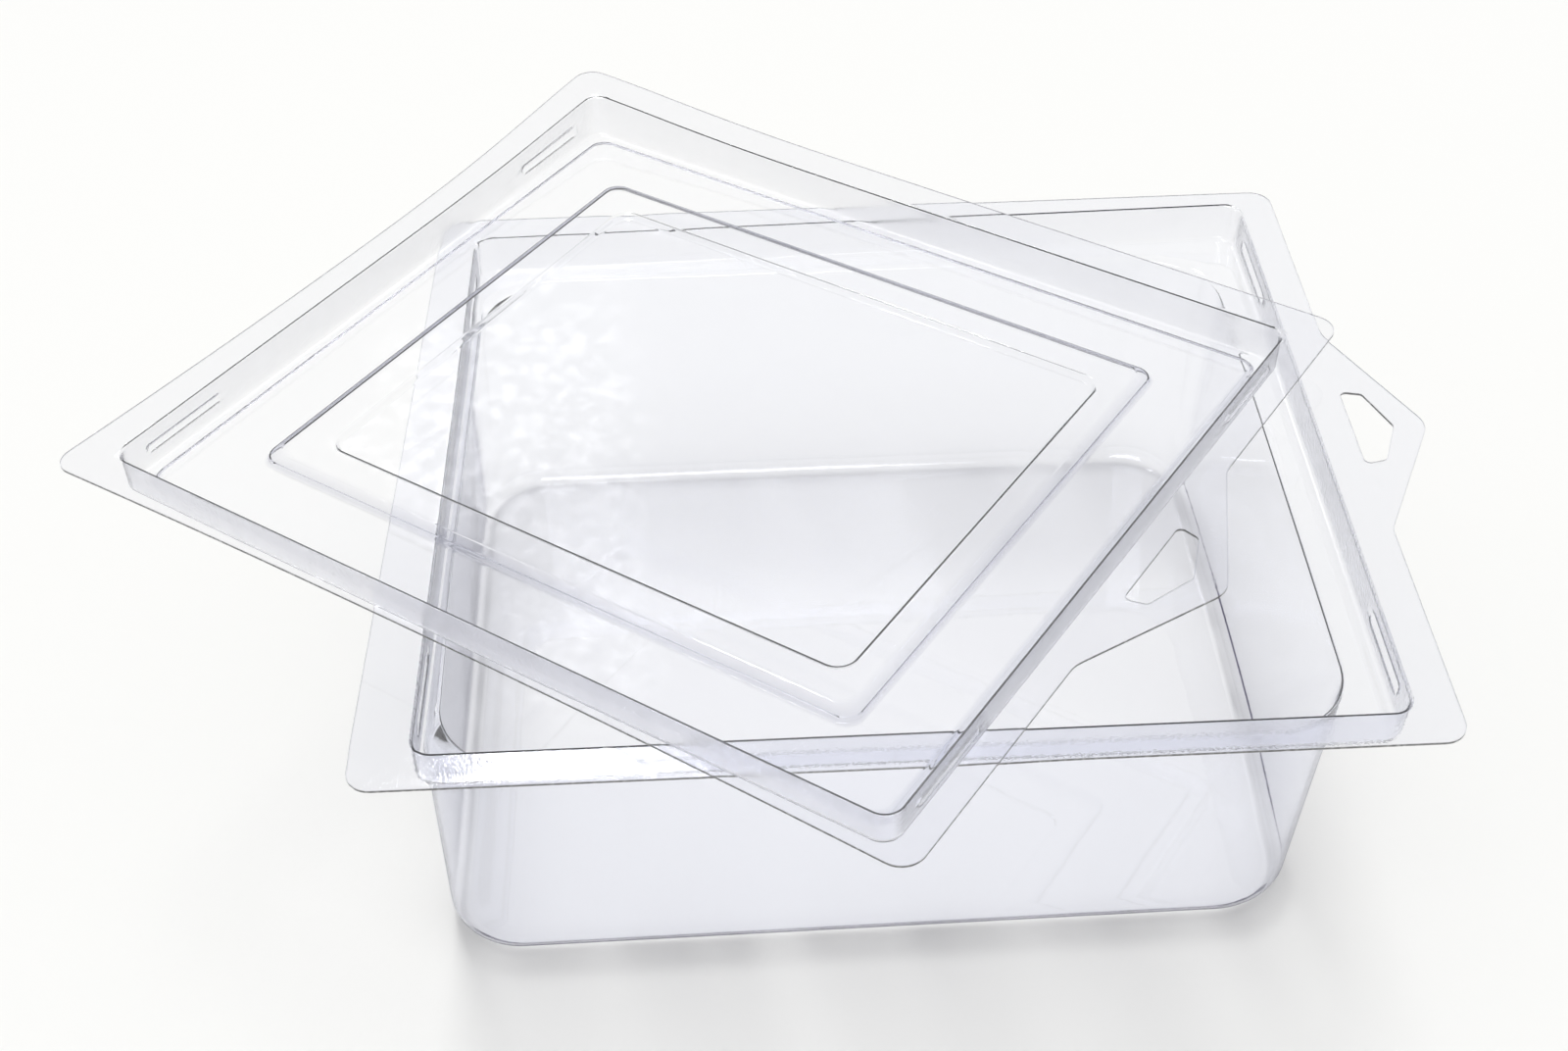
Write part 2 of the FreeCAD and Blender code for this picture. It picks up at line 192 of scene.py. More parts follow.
def blend_levels(first, second, share):
    """A level part of the way from one level to another."""
    return Level(*(a + (b - a) * share for a, b in zip(first, second)))


def arc_shares(turn, steps):
    """Shares of the start, the corner and the end at each step of a round bend."""
    weight = math.cos(turn / 2)
    for step in range(steps + 1):
        s = step / steps
        yield (1 - s) ** 2, 2 * s * (1 - s) * weight, s ** 2


def rounded_bend(before, here, after):
    """The levels of a round bend at one level of the profile."""
    if not here.bend:
        return [here]
    to_before = Vector((before.inset - here.inset, before.height - here.height))
    to_after = Vector((after.inset - here.inset, after.height - here.height))
    turn = math.pi - to_before.angle(to_after)
    if turn < math.radians(2):
        return [here]
    reach = here.bend * math.tan(turn / 2)
    share_before = min(reach / to_before.length, 0.49)
    share_after = min(reach / to_after.length, 0.49)
    start = blend_levels(here, before, share_before)
    end = blend_levels(here, after, share_after)
    levels = []
    for shares in arc_shares(turn, max(3, round(math.degrees(turn) / 11))):
        total = sum(shares)
        mixed = [sum(p * q for p, q in zip(shares, values)) / total
                 for values in zip(start, here, end)]
        levels.append(Level(*mixed)._replace(stretch=here.stretch))
    return levels


def formed_profile(levels):
    """Round the bends, then add levels so that no stretch is too long."""
    rounded = [levels[0]]
    for before, here, after in zip(levels, levels[1:], levels[2:]):
        rounded += rounded_bend(before, here, after)
    rounded.append(levels[-1])
    profile = []
    for here, after in zip(rounded, rounded[1:]):
        run = math.hypot(after.inset - here.inset, after.height - here.height)
        count = max(1, math.ceil(run / here.stretch - 0.001))
        profile += [blend_levels(here, after, i / count) for i in range(count)]
    return profile + [rounded[-1]]


def side_spots(half, fine_from, fine_to, coarse, fine):
    """Places along one straight side, closer together where the snap ribs are."""
    marks = [0.0]
    while marks[-1] < half:
        ribbed = fine_from <= marks[-1] < fine_to
        marks.append(marks[-1] + (fine if ribbed else coarse))
    marks = [m for m in marks if m < half - fine]
    positions = [-half] + [-m for m in reversed(marks[1:])] + marks
    return [(p + half) / (2 * half) for p in positions]


def loop_points(length, width, lev, long_spots, short_spots):
    """One loop of the sheet, anticlockwise from the front left, as x, y pairs."""
    left, right = -length / 2 + lev.inset, length / 2 - lev.inset - lev.tab_side
    half, r = width / 2 - lev.inset, lev.corner
    middle = (left + right) / 2
    corners = (
        ((left + r, -half), (right - r, -half), (right - r, -half + r), -90, long_spots),
        ((right, -half + r), (right, half - r), (right - r, half - r), 0, short_spots),
        ((right - r, half), (left + r, half), (left + r, half - r), 90, long_spots),
        ((left, half - r), (left, -half + r), (left + r, -half + r), 180, short_spots),
    )
    points = []
    for start, end, centre, first_angle, spots in corners:
        for t in spots:
            points.append((start[0] + (end[0] - start[0]) * t, start[1] + (end[1] - start[1]) * t))
        for step in range(CORNER_STEPS):
            angle = math.radians(first_angle + 90 * step / CORNER_STEPS)
            points.append((centre[0] + r * math.cos(angle), centre[1] + r * math.sin(angle)))
    return [(middle + (x - middle) * lev.draw, y * lev.draw) for x, y in points]


def spots_between(start, end, step):
    """Points that fill a straight run, no further apart than step, without its two ends."""
    pieces = max(1, math.ceil((end - start).length / step))
    return [start.lerp(end, k / pieces) for k in range(1, pieces)]


def rounded_outline(corners, step):
    """A closed outline from (x, y, radius) corners, with points no further apart than step."""
    outline = []
    count = len(corners)
    for i in range(count):
        here = Vector(corners[i][:2])
        radius = corners[i][2]
        a = (Vector(corners[i - 1][:2]) - here).normalized()
        b = (Vector(corners[(i + 1) % count][:2]) - here).normalized()
        turn = math.pi - a.angle(b)
        reach = radius * math.tan(turn / 2)
        start, end = here + a * reach, here + b * reach
        if outline:
            outline += spots_between(outline[-1], start, step)
        for p, q, w in arc_shares(turn, max(4, round(math.degrees(turn) / 9))):
            outline.append((start * p + here * q + end * w) / (p + q + w))
    return outline + spots_between(outline[-1], outline[0], step)


def flange_outline(length, width):
    """Outer edge of the flange with its hang tab, in millimetres."""
    x, y, r = length / 2, width / 2, FLANGE_CORNER
    return rounded_outline((
        (-x, -y, r), (x, -y, r), (x, -39.5, 9), (x + 18.5, 0, 8), (x, 39.5, 9),
        (x, y, r), (-x, y, r)), 2.0)


def drawn_in(outline, gap):
    """The outline moved to its left by a gap: inward where it runs anticlockwise."""
    moved = []
    for i, here in enumerate(outline):
        along = (outline[(i + 1) % len(outline)] - outline[i - 1]).normalized()
        moved.append(here + Vector((-along.y, along.x)) * gap)
    return moved


def hang_hole_outline(length):
    """The five-sided hang hole, its flat side just inside the flange's edge."""
    x = length / 2
    return rounded_outline((
        (x - 0.8, -14.7, 1.6), (x + 4.8, -13.4, 1.6), (x + 9.8, 0, 1.6),
        (x + 4.8, 13.4, 1.6), (x - 0.8, 14.7, 1.6)), 1.2)


def inside(point, outline):
    """Whether a point is inside a closed outline."""
    x, y = point
    found = False
    last = outline[-1]
    for here in outline:
        if (here[1] > y) != (last[1] > y):
            crossing = here[0] + (y - here[1]) / (last[1] - here[1]) * (last[0] - here[0])
            if x < crossing:
                found = not found
        last = here
    return found


def edge_distance(point, length, width):
    """How far a point lies inside the flange's rounded rectangle."""
    dx = abs(point[0]) - (length / 2 - FLANGE_CORNER)
    dy = abs(point[1]) - (width / 2 - FLANGE_CORNER)
    return FLANGE_CORNER - math.hypot(max(dx, 0), max(dy, 0)) - min(max(dx, dy), 0)


# ---------------------------------------------------------------- mesh of a formed sheet


def capsule_bulge(along, up, centre, half_length, radius, depth):
    """How far a round-ended bar pressed into a wall stands out of it."""
    off_end = max(abs(along - centre) - (half_length - radius), 0.0)
    away = math.hypot(off_end, up)
    height = math.sqrt(max(radius * radius - away * away, 0.0)) - (radius - depth)
    soft = 0.12  # rounds the line where the bar meets the wall
    return 0.5 * (height + math.sqrt(height * height + soft * soft)) if away < radius else 0.0


class SheetMesher:
    """Builds the upper face of one formed sheet, in millimetres about its flange's middle."""

    def __init__(self, length, width, levels, rib_depth, rib_radius, rib_drop):
        self.length, self.width = length, width
        self.rib_depth, self.rib_radius, self.rib_drop = rib_depth, rib_radius, rib_drop
        self.profile = formed_profile(levels)
        self.long_spots = side_spots(length / 2 - 16, 0, 0, coarse=3.0, fine=0.5)
        self.short_spots = side_spots(
            width / 2 - 15, RIB_CENTRE - 15, RIB_CENTRE + 15, coarse=3.0, fine=0.7)
        self.bm = bmesh.new()
        self.body = self.bm.verts.layers.float.new("body")

    def rib(self, x, y, z):
        """Outward push of the four snap ribs on the short walls."""
        top = self.profile[0].height
        if not top - 9 < z < top - 2.5 or abs(x) < self.length / 2 - 12.5:
            return 0.0
        push = capsule_bulge(abs(y), z - (top - self.rib_drop), RIB_CENTRE, RIB_HALF_LENGTH,
                             self.rib_radius, self.rib_depth)
        return math.copysign(push, x)

    def build(self):
        """Make every loop of the profile, the faces between them and the band at the edge."""
        loops = []
        for lev in self.profile:
            points = loop_points(self.length, self.width, lev, self.long_spots, self.short_spots)
            loop = [self.bm.verts.new((x + self.rib(x, y, lev.height), y, lev.height))
                    for x, y in points]
            for vert in loop:
                vert[self.body] = lev.body
            loops.append(loop)
        for outer, inner in zip(loops, loops[1:]):
            for i in range(len(outer)):
                j = (i + 1) % len(outer)
                self.bm.faces.new((outer[i], outer[j], inner[j], inner[i]))
        self.bm.faces.new(loops[-1])
        self.add_edge_band(loops[0])
        return self.bm

    def add_edge_band(self, ring):
        """Fill from the outermost loop to the flange's edge and round the hang hole."""
        height = self.profile[0].height
        inset = self.profile[0].inset
        outline = flange_outline(self.length, self.width)
        hole = hang_hole_outline(self.length)
        spread = self.tab_spread(outline, hole)
        places = [v.co.xy.copy() for v in ring] + outline + hole
        places += drawn_in(outline, HEM) + drawn_in(hole, -HEM) + spread
        edges = []
        first = 0
        for count in (len(ring), len(outline), len(hole), len(outline), len(hole)):
            edges += [(first + i, first + (i + 1) % count) for i in range(count)]
            first += count
        points, _, faces, origins, _, _ = delaunay_2d_cdt(places, edges, [], 0, 1e-6)
        verts = []
        for place, origin in zip(points, origins):
            known = [o for o in origin if o < len(ring)]
            vert = ring[known[0]] if known else self.bm.verts.new((*place, height))
            sheared = any(len(ring) <= o < len(ring) + len(outline) + len(hole) for o in origin)
            vert[self.body] = EDGE_BODY if sheared else FLANGE_BODY
            verts.append(vert)
        for face in faces:
            middle = sum((points[i] for i in face), Vector((0, 0))) / len(face)
            depth = edge_distance(middle, self.length, self.width)
            if depth > inset or inside(middle, hole):
                continue
            if depth < 0.05 and not inside(middle, outline):
                continue
            made = self.bm.faces.new([verts[i] for i in face])
            made.normal_update()
            if made.normal.z < 0:
                made.normal_flip()

    def tab_spread(self, outline, hole):
        """Points spread over the hang tab, so that it can bend."""
        spread = []
        step, clear_of_edges = 2.4, 1.1
        rows, half_row = 9, 17
        for i in range(rows):
            for k in range(-half_row, half_row + 1):
                place = Vector((self.length / 2 + 0.6 + i * step, (k + 0.5 * (i % 2)) * step))
                if not inside(place, outline) or inside(place, hole):
                    continue
                if min((place - p).length for p in outline + hole) > clear_of_edges:
                    spread.append(place)
        return spread


def solid_sheet(name, bm, thickness, bend_sheet, wear_and_shade_at, materials):
    """Turn an upper face into a sheet of real thickness and link it, in metres."""
    # This attribute carries the scuffs with their painted shade, the haze, and the cast shade of
    # lamplight.
    wear_and_shade = bm.verts.layers.float_vector.new("wear_and_shade")
    for vert in bm.verts:
        vert[wear_and_shade] = wear_and_shade_at(vert.co)
        vert.co = bend_sheet(vert.co)
    bm.normal_update()
    mesh = bpy.data.meshes.new(name)
    bm.to_mesh(mesh)
    bm.free()
    mesh.transform(Matrix.Scale(MM, 4))
    for material in materials:
        mesh.materials.append(material)
    shape = bpy.data.objects.new(name, mesh)
    bpy.context.scene.collection.objects.link(shape)
    thicken = shape.modifiers.new("sheet", "SOLIDIFY")
    thicken.thickness = thickness
    thicken.offset = -1
    thicken.material_offset_rim = 1
    bpy.context.view_layer.update()
    evaluated = shape.evaluated_get(bpy.context.evaluated_depsgraph_get())
    solid = bpy.data.meshes.new_from_object(evaluated)
    solid.name = name
    shape.modifiers.clear()
    shape.data = solid
    for polygon in solid.polygons:
        polygon.use_smooth = True
    solid.set_sharp_from_angle(angle=math.radians(50))
    return shape


# ---------------------------------------------------------------- profiles


def closed(levels, draws):
    """The levels, with the last loop drawn in step by step to its own middle."""
    last = levels[-1]._replace(stretch=1.0)
    return levels + [last._replace(draw=draw) for draw in draws]


def tray_levels(top):
    """The tray's upper face from near the flange's edge to the middle of its base."""
    ledge, lower, base = top - TRAY_RECESS, 12.0, 0.6
    wall, corner, side = 16.0, 20.0, 2.5
    lower_lean, base_lean = (ledge - lower) * DRAFT, (ledge - base) * DRAFT
    foot = wall + base_lean
    return closed([
        level(EDGE_BAND, top, 4.4, stretch=2.5, body=FLANGE_BODY),
        level(8.6, top, 4.9, stretch=2.5, body=FLANGE_BODY),
        level(10.0, top, 5.0, bend=1.3, stretch=0.45, body=0.4),
        level(10.0 + TRAY_RECESS * DRAFT, ledge, 5.0, bend=0.8, stretch=2.0, body=0.2),
        level(12.4, ledge, 7.0, stretch=2.0),
        level(wall, ledge, corner, bend=1.6, stretch=5.0, tab_side=side),
        level(wall + lower_lean, lower, corner - lower_lean, stretch=3.0, tab_side=side),
        level(foot, base, corner - base_lean, bend=5.4, stretch=8.0, tab_side=side, body=0.15),
        level(foot + 7, base, 15.0, stretch=12.0, tab_side=side),
        level(foot + 12, base, 12.0, stretch=12.0, tab_side=side),
    ], (0.8, 0.5, 0.2, 0.04))


def lid_levels(top):
    """The lid's upper face from near the flange's edge to the middle of its sunk panel."""
    channel, border, frame_panel, window = top - LID_PLUG, top - 8.6, top - 6.0, top - 7.5
    return closed([
        level(EDGE_BAND, top, 4.4, stretch=2.5, body=FLANGE_BODY),
        level(9.6, top, 4.6, stretch=2.5, body=FLANGE_BODY),
        level(11.0, top, 4.6, bend=1.3, stretch=0.45, body=0.4),
        level(11.0 + LID_PLUG * DRAFT, channel, 4.4, bend=0.8, stretch=1.5, body=0.1),
        level(12.8, channel, 4.5, stretch=1.5),
        level(14.6, channel, 4.6, stretch=0.6),
        level(15.2, channel, 4.6, bend=0.6, stretch=0.6, body=1.0),
        level(15.8, border, 4.6, bend=0.9, stretch=4.0, body=1.0),
        level(17.2, border, 4.6, stretch=4.0),
        level(34.4, border, 4.6, stretch=0.8),
        level(35.2, border, 4.6, bend=0.5, stretch=0.6, body=1.0),
        level(35.5, border + 1.4, 4.6, bend=0.5, stretch=0.6, body=1.0),
        level(37.9, frame_panel, 4.6, bend=0.9, stretch=4.0, body=0.3),
        level(39.4, frame_panel, 4.6, stretch=4.0),
        level(47.2, frame_panel, 5.0, bend=0.9, stretch=0.6),
        level(47.9, window, 5.0, bend=0.6, stretch=6.0),
        level(60.0, window, 5.0, stretch=6.0),
    ], (0.75, 0.5, 0.2, 0.04))


def smooth(start, end, value):
    """0 at start and before it, 1 at end and after it, either way round."""
    t = min(max((value - start) / (end - start), 0.0), 1.0)
    return t * t * (3 - 2 * t)


def rim_inset(x, y):
    """How far a place lies inside the lines of the flange's four sides."""
    return min(HALF_LENGTH - abs(x), HALF_WIDTH - abs(y))


def bend_tray(co):
    """The slight lean, buckling and uneven rim of the tray's thin sheet."""
    x, y, z = co
    low = 1 - z / TRAY_HEIGHT
    back = (y + HALF_WIDTH) / (2 * HALF_WIDTH)
    leftward = min(max((HALF_LENGTH - x) / (2 * HALF_LENGTH), 0.0), 1.0)
    left = smooth(-60, -106, x)
    outer = rim_inset(x, y)
    upper = smooth(60, 69, z)
    # How far the flange, the recess wall and the ledge are pushed in at the left.
    flange = 6.5 * back * leftward
    wall = flange + left * (3.7 - 3.0 * back)
    ledge = max(left * (1.9 - 1.4 * back), wall - 3.4)
    # Shares of the way in across the flange, and from the recess wall over the ledge.
    across = min(max((outer - EDGE_BAND) / 8.0, 0.0), 1.0)
    down = min(max((outer - 10.6) / 5.4, 0.0), 1.0)
    rim = flange + (wall - flange) * across + (ledge - wall) * down
    bow = 2.3 * smooth(60, 95, x) * max(1 - (y / 95) ** 2, 0.0)
    # The walls below lean with the base, and the right wall bows out between its corners.
    x_shift = upper * rim - (1 - upper) * left * 3.0 - (5 - 3 * left - bow) * low
    y_shift = low * ((1 - back) * (2.8 - 3.3 * leftward) - 3.5 * back)
    y_shift += upper * 4.0 * smooth(70, 98, y) * (1 - leftward) * across * (1 - down)
    # The left half of the front flange hangs a little.
    droop = 0.75 * (1 - across) * smooth(-97, -101, y) * smooth(40, 0, x)
    return Vector((x + x_shift, y + y_shift, z - droop))


def bend_lid(co):
    """The lid's curled far corner, its lifted front edge and its uneven rim."""
    x, y, z = co
    outer = rim_inset(x, y)
    on_tab = x >= 122  # the hang tab stays flat
    flange = 0.0 if on_tab else smooth(11.5, 2, outer)
    high = smooth(-9, -1, z)
    corner_reach = 45
    from_corner = (x + HALF_LENGTH) ** 2 + (y - HALF_WIDTH) ** 2
    far_corner = math.exp(-from_corner / corner_reach ** 2)
    lift = 3.0 * far_corner * high
    lift += 2.5 * (1 - (x / HALF_LENGTH) ** 2) * flange * smooth(-95, -104, y)
    x_shift = 2.6 * (1 - (y / HALF_WIDTH) ** 2) * flange * smooth(-107, -116, x)
    x_shift += 2.4 * smooth(10, 70, x) * smooth(84.6, 76, x) * smooth(84, 70, abs(y))
    return Vector((x + x_shift, y, z + lift))


def tray_wear_and_shade(co):
    """Scuffs, which are partly wear and partly painted shade, haze and cast shade at one place on
    the tray.
    """
    x, y, z = co
    # The two scuffed lines are partly wear and partly painted shade for the dark refraction along
    # the foot.
    right_line, front_line = 5.81, 1.75  # heights of loops that the two scuffed lines follow
    foot = smooth(0.6, 0.1, abs(z - right_line))
    unbroken = smooth(-68, -56, y) * smooth(32, 20, y)
    long_scuff_and_shade = foot * smooth(90, 96, x) * smooth(-90, -84, y) * smooth(80, 70, y)
    front_scuff_and_shade = smooth(1.0, 0.5, abs(z - front_line)) * smooth(-80, -86, y)
    scuff_and_shade = max(long_scuff_and_shade * (0.76 + 0.24 * unbroken), 0.9 * front_scuff_and_shade)
    outer = rim_inset(x, y)
    wall = smooth(8.0, 10.0, outer) * smooth(12.0, 10.6, outer)
    front_rim = smooth(12.0, 9.0, outer) * smooth(-96, -100, y)
    haze = max(0.85 * wall, 0.6 * front_rim)
    shadow = smooth(12, 5, z) * smooth(0.6, 1.2, z)
    shadow += 0.5 * smooth(5, 14, z) * smooth(70, 66, z)
    return Vector((scuff_and_shade, haze, min(shadow, 1.0)))


def lid_wear_and_shade(co):
    """Scuff, haze and cast shade at one place on the lid."""
    x, y, z = co
    outer = rim_inset(x, y)
    wall = smooth(9.0, 11.0, outer) * smooth(13.0, 11.6, outer)
    return Vector((0.0, wall, 0.2 * wall))


# ---------------------------------------------------------------- materials


def add_node(tree, kind, place, **sockets):
    """A node at a place in the tree, with plain values on some of its inputs."""
    node = tree.nodes.new(kind)
    node.location = place
    for name, value in sockets.items():
        node.inputs[name.replace("_", " ")].default_value = value
    return node


def mixed_colour(tree, place, factor, first, second):
    """A colour mix; a plain colour may stand in for either link."""
    mix = add_node(tree, "ShaderNodeMix", place)
    mix.data_type = "RGBA"
    tree.links.new(factor, mix.inputs["Factor"])
    for socket, colour in ((mix.inputs["A"], first), (mix.inputs["B"], second)):
        if isinstance(colour, bpy.types.NodeSocket):
            tree.links.new(colour, socket)
        else:
            socket.default_value = (*colour, 1)
    return mix.outputs["Result"]


def worked_out(tree, place, operation, first, second, third=0.0):
    """A sum on links and plain numbers."""
    node = add_node(tree, "ShaderNodeMath", place)
    node.operation = operation
    for socket, value in zip(node.inputs, (first, second, third)):
        if isinstance(value, bpy.types.NodeSocket):
            tree.links.new(value, socket)
        else:
            socket.default_value = value
    return node.outputs[0]


def stretched(tree, place, value, low, high, to_low=0.0, to_high=1.0):
    """A value moved from one range to another and held inside it."""
    node = add_node(tree, "ShaderNodeMapRange", place, From_Min=low, From_Max=high,
                    To_Min=to_low, To_Max=to_high)
    tree.links.new(value, node.inputs["Value"])
    return node.outputs["Result"]


def noise(tree, place, where, scale, detail):
    """A grey noise between 0 and 1, spread over the object."""
    node = add_node(tree, "ShaderNodeTexNoise", place, Scale=scale, Detail=detail)
    tree.links.new(where, node.inputs["Vector"])
    return node.outputs[0]


def grey_ramp(tree, place, factor, stops):
    """A grey that follows a factor through (position, value) stops."""
    node = add_node(tree, "ShaderNodeValToRGB", place)
    ramp = node.color_ramp
    while len(ramp.elements) > 1:
        ramp.elements.remove(ramp.elements[-1])
    for index, (position, value) in enumerate(stops):
        mark = ramp.elements[0] if index == 0 else ramp.elements.new(position)
        mark.position = position
        mark.color = (value, value, value, 1)
    tree.links.new(factor, node.inputs["Fac"])
    return node.outputs["Color"]


def empty_material(name):
    """A new material and its node tree with nothing in it."""
    material = bpy.data.materials.new(name)
    material.use_nodes = True
    material.node_tree.nodes.clear()
    return material, material.node_tree


# Scales of the noises in the sheet's finish, from slow waves to fine grain.
WAVES, STREAKS, MOTTLE, SCRATCHES, NICKS, GRAIN = 22.0, 45.0, 260.0, 700.0, 900.0, 1300.0


def sheet_surface(tree, plastic, where, haze):
    """The waves, skin and frost of the sheet's face as a normal, and how rough it is."""
    link = tree.links.new
    mottle = noise(tree, (-1600, 200), where, MOTTLE, 2.0)
    grain = noise(tree, (-1600, 400), where, GRAIN, 2.0)
    waves = add_node(tree, "ShaderNodeBump", (-1200, 600), Distance=plastic.ripple)
    link(noise(tree, (-1600, 600), where, WAVES, 1.5), waves.inputs["Height"])
    skin = add_node(tree, "ShaderNodeBump", (-1000, 500), Strength=0.2, Distance=0.02 * MM)
    link(mottle, skin.inputs["Height"])
    link(waves.outputs["Normal"], skin.inputs["Normal"])
    frost = add_node(tree, "ShaderNodeBump", (-800, 400), Distance=plastic.frost)
    link(grain, frost.inputs["Height"])
    link(worked_out(tree, (-1000, 300), "MULTIPLY_ADD", haze, 1.3, 0.04), frost.inputs["Strength"])
    link(skin.outputs["Normal"], frost.inputs["Normal"])
    polish = stretched(tree, (-1200, 100), mottle, 0.35, 0.75, 0.0, 0.04)
    deep_haze = worked_out(tree, (-1200, 0), "POWER", haze, 3.0)
    rough = worked_out(tree, (-1000, 100), "MULTIPLY_ADD", deep_haze, 0.2, polish)
    return frost.outputs["Normal"], rough


def sheet_colour(tree, plastic, tint, where, body, steep, scuff_and_shade):
    """The sheet's tint, greyer where it is thick, darkened as painted shade where it is seen edge
    on, and dark in its scuffs, which are partly wear and partly painted shade.
    """
    thick = mixed_colour(tree, (-1000, -100), body, tint, plastic.wall_tint)
    # Painted shade: the grazing mix darkens the sheet as it turns edge on, standing in for the
    # darker room that it reflects.
    toned = mixed_colour(tree, (-800, -100), steep, thick, plastic.grazing_shade_tint)
    # Partly wear and partly painted shade: the scuffed lines darken the colour along the tray's
    # foot.
    scratches = noise(tree, (-1600, -900), where, SCRATCHES, 3.0)
    broken = worked_out(tree, (-1200, -800), "MULTIPLY_ADD", scratches, 0.35, scuff_and_shade)
    worn = stretched(tree, (-1000, -800), broken, 0.76, 0.98)
    return mixed_colour(tree, (-600, -200), worn, toned, plastic.scuff_and_shade_tint)


def lamp_shade(tree, plastic, where, steep, shadow):
    """The share of lamplight that the sheet lets through, uneven in upright streaks."""
    drawn = add_node(tree, "ShaderNodeMapping", (-1600, -1100), Scale=(1, 1, 0.04))
    tree.links.new(where, drawn.inputs["Vector"])
    streaks = noise(tree, (-1400, -1100), drawn.outputs["Vector"], STREAKS, 1.0)
    uneven = stretched(tree, (-1200, -1100), streaks, 0.35, 0.65, 0.55, 1.0)
    cast = worked_out(tree, (-1000, -1000), "MULTIPLY", uneven, shadow)
    shade = mixed_colour(tree, (-800, -900), cast, plastic.shade, plastic.edge_shade)
    return mixed_colour(tree, (-600, -900), steep, shade, plastic.edge_shade)


def clear_plastic(name, plastic, tint, shift):
    """Glossy clear sheet, greyer where it is thick and frosted where it was drawn."""
    material, tree = empty_material(name)
    link = tree.links.new
    here = add_node(tree, "ShaderNodeTexCoord", (-2000, 0))
    moved = add_node(tree, "ShaderNodeMapping", (-1800, 0), Location=(shift, shift, 0))
    link(here.outputs["Object"], moved.inputs["Vector"])
    where = moved.outputs["Vector"]
    body = add_node(tree, "ShaderNodeAttribute", (-1600, -500))
    body.attribute_name = "body"
    # This attribute carries the scuffs with their painted shade, the haze, and the cast shade of
    # lamplight.
    wear_and_shade = add_node(tree, "ShaderNodeAttribute", (-1600, -700))
    wear_and_shade.attribute_name = "wear_and_shade"
    kinds = add_node(tree, "ShaderNodeSeparateXYZ", (-1400, -700))
    link(wear_and_shade.outputs["Vector"], kinds.inputs[0])
    scuff_and_shade, haze, shadow = kinds.outputs
    # How nearly edge on the sheet is met; it drives the painted shade at grazing angles and the
    # dimmed lamplight.
    facing = add_node(tree, "ShaderNodeLayerWeight", (-1600, -300), Blend=0.5)
    steep = worked_out(tree, (-1400, -300), "POWER", facing.outputs["Facing"], 7.0)

    normal, rough = sheet_surface(tree, plastic, where, haze)
    colour = sheet_colour(tree, plastic, tint, where, body.outputs["Fac"], steep, scuff_and_shade)
    glass = add_node(tree, "ShaderNodeBsdfGlass", (-300, 100), IOR=plastic.bend_index)
    link(rough, glass.inputs["Roughness"])
    link(normal, glass.inputs["Normal"])
    link(colour, glass.inputs["Color"])
    shade = lamp_shade(tree, plastic, where, steep, shadow)
    lamps_pass = add_node(tree, "ShaderNodeBsdfTransparent", (-300, -200))
    link(shade, lamps_pass.inputs["Color"])
    path = add_node(tree, "ShaderNodeLightPath", (-600, 500))
    either = worked_out(tree, (-300, 400), "MAXIMUM", path.outputs["Is Shadow Ray"],
                        path.outputs["Is Diffuse Ray"])
    choose = add_node(tree, "ShaderNodeMixShader", (0, 100))
    link(either, choose.inputs["Fac"])
    link(glass.outputs[0], choose.inputs[1])
    link(lamps_pass.outputs[0], choose.inputs[2])
    out = add_node(tree, "ShaderNodeOutputMaterial", (200, 100))
    link(choose.outputs[0], out.inputs["Surface"])
    return material


def cut_edge(name):
    """The sheared edge of the sheet: greyer and duller than its faces."""
    material, tree = empty_material(name)
    where = add_node(tree, "ShaderNodeTexCoord", (-900, 0))
    nicks = noise(tree, (-700, 0), where.outputs["Object"], NICKS, 3.0)
    tone = grey_ramp(tree, (-450, 0), nicks, ((0.3, 0.22), (0.55, 0.42), (0.75, 0.8)))
    shader = add_node(tree, "ShaderNodeBsdfPrincipled", (-100, 0), Roughness=0.35, IOR=1.5)
    shader.inputs["Transmission Weight"].default_value = 0.45
    tree.links.new(tone, shader.inputs["Base Color"])
    out = add_node(tree, "ShaderNodeOutputMaterial", (250, 0))
    tree.links.new(shader.outputs[0], out.inputs["Surface"])
    return material


def floor_finish(colour):
    """Plain, slightly dull floor."""
    material = bpy.data.materials.new("studio_floor")
    material.use_nodes = True
    shader = material.node_tree.nodes["Principled BSDF"]
    shader.inputs["Base Color"].default_value = (*colour, 1)
    shader.inputs["Roughness"].default_value = 0.6
    shader.inputs["Specular IOR Level"].default_value = 0.2
    return material


# ---------------------------------------------------------------- operators


class HANGBOX_OT_tray(bpy.types.Operator):
    """Build the deep tray from one formed sheet"""

    bl_idname = "hangbox.tray"
    bl_label = "Build Tray"

    def execute(self, context):
        settings = context.scene.hang_box
        sheet = settings.sheet
        mesher = SheetMesher(
            sheet.flange_length / MM, sheet.flange_width / MM,
            tray_levels(sheet.tray_height / MM), rib_depth=1.0, rib_radius=1.8, rib_drop=5.5)
        plastic = settings.plastic
        finishes = (clear_plastic("tray_clear_sheet", plastic, plastic.tray_tint, 0.0),
                    cut_edge("tray_cut_edge"))
        tray = solid_sheet(
            "tray_sheet_mesh", mesher.build(), sheet.thickness, bend_tray, tray_wear_and_shade, finishes)
        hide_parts("tray")
        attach(tray, "tray")
        return {"FINISHED"}


